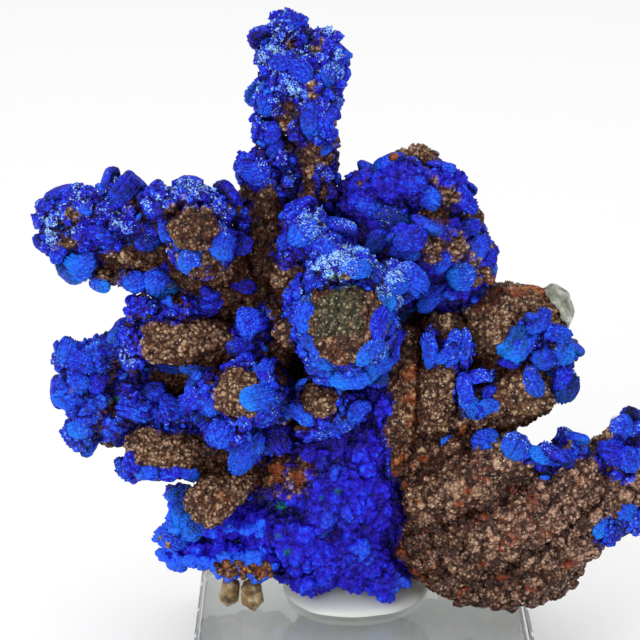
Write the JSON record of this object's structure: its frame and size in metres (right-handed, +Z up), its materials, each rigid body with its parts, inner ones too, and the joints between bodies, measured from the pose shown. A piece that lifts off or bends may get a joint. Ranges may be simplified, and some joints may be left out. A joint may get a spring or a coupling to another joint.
{
  "type": "azurite mineral specimen",
  "caption": "Deep blue azurite rosettes and velvety crust on brown stalactitic goethite fingers, set on a clear acrylic display block",
  "frame": {"origin": "centre of the display block's underside", "axes": "+Z up out of the block's top, +X to the right and +Y to the back, seen from the display side"},
  "size_m": [0.159, 0.085, 0.1712],
  "materials": {
    "azurite": "satin",
    "goethite": "rough",
    "quartz": "satin",
    "acrylic": "polished clear",
    "silicone": "translucent satin"
  },
  "bodies": {
    "root": {"azurite_apron": "azurite", "azurite_ball_crust": "azurite", "azurite_ball_right_rim": "azurite", "azurite_centre_coat": "azurite", "azurite_centre_left_coat": "azurite", "azurite_cup": "azurite", "azurite_far_right_edge": "azurite", "azurite_far_right_tip": "azurite", "azurite_inner_bridge": "azurite", "azurite_knob_side": "azurite", "azurite_ledge": "azurite", "azurite_left_arm_crust": "azurite", "azurite_left_arm_lenses": "azurite", "azurite_left_bar_crust": "azurite", "azurite_left_outer_crust": "azurite", "azurite_left_recess_lenses": "azurite", "azurite_lower_left_edge": "azurite", "azurite_petals": "azurite", "azurite_right_chain": "azurite", "azurite_right_hook": "azurite", "azurite_side_cap": "azurite", "azurite_slab_lenses": "azurite", "azurite_tower_beads": "azurite", "azurite_tower_crown": "azurite", "azurite_tower_drip": "azurite", "azurite_upper_centre": "azurite", "azurite_upper_left_coat": "azurite", "display_block": "acrylic", "goethite_back_left_finger": "goethite", "goethite_back_right_finger": "goethite", "goethite_centre_finger": "goethite", "goethite_centre_left_finger": "goethite", "goethite_centre_lower_finger": "goethite", "goethite_far_right_finger": "goethite", "goethite_inner_column": "goethite", "goethite_inner_post": "goethite", "goethite_left_bar": "goethite", "goethite_left_mass": "goethite", "goethite_left_outer_arm": "goethite", "goethite_left_outer_branch": "goethite", "goethite_lower_left_finger": "goethite", "goethite_lower_left_mass": "goethite", "goethite_lower_left_slab": "goethite", "goethite_lower_right_mass": "goethite", "goethite_middle_ridge": "goethite", "goethite_right_finger": "goethite", "goethite_right_slab": "goethite", "goethite_small_knob": "goethite", "goethite_tower": "goethite", "goethite_tower_side_finger": "goethite", "goethite_trunk": "goethite", "goethite_upper_knob": "goethite", "goethite_upper_left_arm": "goethite", "goethite_upper_left_finger": "goethite", "goethite_upper_ridge": "goethite", "goethite_upper_right_ball": "goethite", "quartz_crystal_left": "quartz", "quartz_crystal_right": "quartz", "quartz_slab_rim": "quartz", "silicone_pad": "silicone"}
  },
  "joints": []
}
